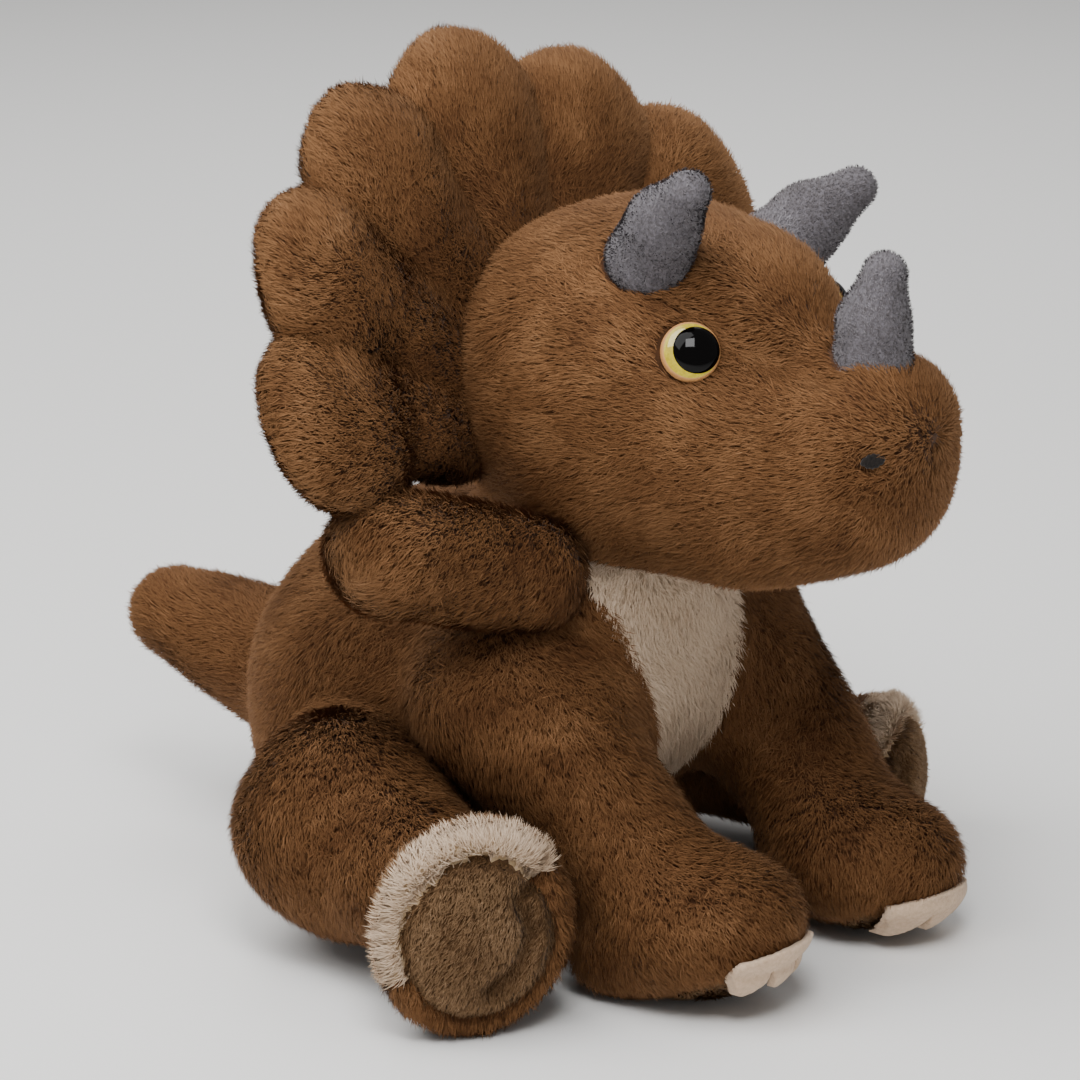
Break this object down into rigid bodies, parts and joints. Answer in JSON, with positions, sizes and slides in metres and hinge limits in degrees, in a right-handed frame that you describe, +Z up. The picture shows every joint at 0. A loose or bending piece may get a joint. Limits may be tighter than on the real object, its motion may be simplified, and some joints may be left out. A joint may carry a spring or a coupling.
{
  "type": "plush dinosaur",
  "caption": "Sitting stuffed three-horned dinosaur with a scalloped frill, felt horns and claws, plastic eyes, cream bib and toes, and sewn limbs that flex.",
  "frame": {"origin": "middle of the footprint box, on the surface that the toy sits on", "axes": "+Z up; the nose points to -Y; the right side of the animal is -X"},
  "size_m": [0.232, 0.2614, 0.2312],
  "materials": {
    "brown_plush": "matte",
    "sole_plush": "matte",
    "cream_plush": "matte",
    "grey_felt": "matte",
    "cream_felt": "matte",
    "fibre_filling": "matte",
    "bag_linen": "matte",
    "iris_plastic": "gloss",
    "pupil_plastic": "gloss",
    "washer_plastic": "satin",
    "black_thread": "satin"
  },
  "bodies": {
    "torso": {"torso_cover": "brown_plush", "belly_bib": "cream_plush", "torso_filling": "fibre_filling", "pellet_bag": "bag_linen"},
    "neck": {"neck_filling": "fibre_filling"},
    "head": {"head_cover": "brown_plush", "head_filling": "fibre_filling", "eye_iris_right": "iris_plastic", "eye_pupil_right": "pupil_plastic", "eye_washer_right": "washer_plastic", "nostril_right": "black_thread", "eye_iris_left": "iris_plastic", "eye_pupil_left": "pupil_plastic", "eye_washer_left": "washer_plastic", "nostril_left": "black_thread", "brow_horn_right": "grey_felt", "brow_horn_right_filling": "fibre_filling", "brow_horn_left": "grey_felt", "brow_horn_left_filling": "fibre_filling", "nose_horn": "grey_felt", "nose_horn_filling": "fibre_filling", "frill_lobe_crown": "brown_plush", "frill_lobe_left_1": "brown_plush", "frill_lobe_right_1": "brown_plush", "frill_lobe_left_2": "brown_plush", "frill_lobe_right_2": "brown_plush", "frill_lobe_left_3": "brown_plush", "frill_lobe_right_3": "brown_plush", "frill_lobe_left_4": "brown_plush", "frill_lobe_right_4": "brown_plush"},
    "arm_right": {"arm_cover_right": "brown_plush", "paw_sole_right": "sole_plush", "paw_claws_right": "cream_felt", "arm_filling_right": "fibre_filling"},
    "arm_left": {"arm_cover_left": "brown_plush", "paw_sole_left": "sole_plush", "paw_claws_left": "cream_felt", "arm_filling_left": "fibre_filling"},
    "leg_right": {"leg_cover_right": "brown_plush", "foot_sole_right": "sole_plush", "toe_band_right": "cream_plush", "leg_filling_right": "fibre_filling"},
    "leg_left": {"leg_cover_left": "brown_plush", "foot_sole_left": "sole_plush", "toe_band_left": "cream_plush", "leg_filling_left": "fibre_filling"},
    "tail": {"tail_cover": "brown_plush", "tail_filling": "fibre_filling"}
  },
  "joints": [
    {"name": "neck_turn", "type": "hinge", "parent": "torso", "child": "neck", "pos_m": [0, -0.022, 0.104], "axis": [0, 0, 1], "range_deg": [-12, 12], "stiffness_Nm_per_rad": 1},
    {"name": "head_nod", "type": "hinge", "parent": "neck", "child": "head", "pos_m": [0, -0.022, 0.104], "axis": [1, 0, 0], "range_deg": [-8, 8], "stiffness_Nm_per_rad": 1.5},
    {"name": "arm_right_swing", "type": "hinge", "parent": "torso", "child": "arm_right", "pos_m": [-0.046, -0.028, 0.073], "axis": [-1, 0, 0], "range_deg": [-4, 25], "stiffness_Nm_per_rad": 0.3},
    {"name": "arm_left_swing", "type": "hinge", "parent": "torso", "child": "arm_left", "pos_m": [0.046, -0.028, 0.073], "axis": [-1, 0, 0], "range_deg": [-4, 25], "stiffness_Nm_per_rad": 0.3},
    {"name": "leg_right_swing", "type": "hinge", "parent": "torso", "child": "leg_right", "pos_m": [-0.064, 0.009, 0.035], "axis": [0, 0, 1], "range_deg": [-15, 5], "stiffness_Nm_per_rad": 0.5},
    {"name": "leg_left_swing", "type": "hinge", "parent": "torso", "child": "leg_left", "pos_m": [0.064, 0.009, 0.035], "axis": [0, 0, 1], "range_deg": [0, 15], "stiffness_Nm_per_rad": 0.5},
    {"name": "tail_wag", "type": "hinge", "parent": "torso", "child": "tail", "pos_m": [0, 0.071, 0.045], "axis": [0, 0, 1], "range_deg": [-15, 15], "stiffness_Nm_per_rad": 0.15}
  ]
}
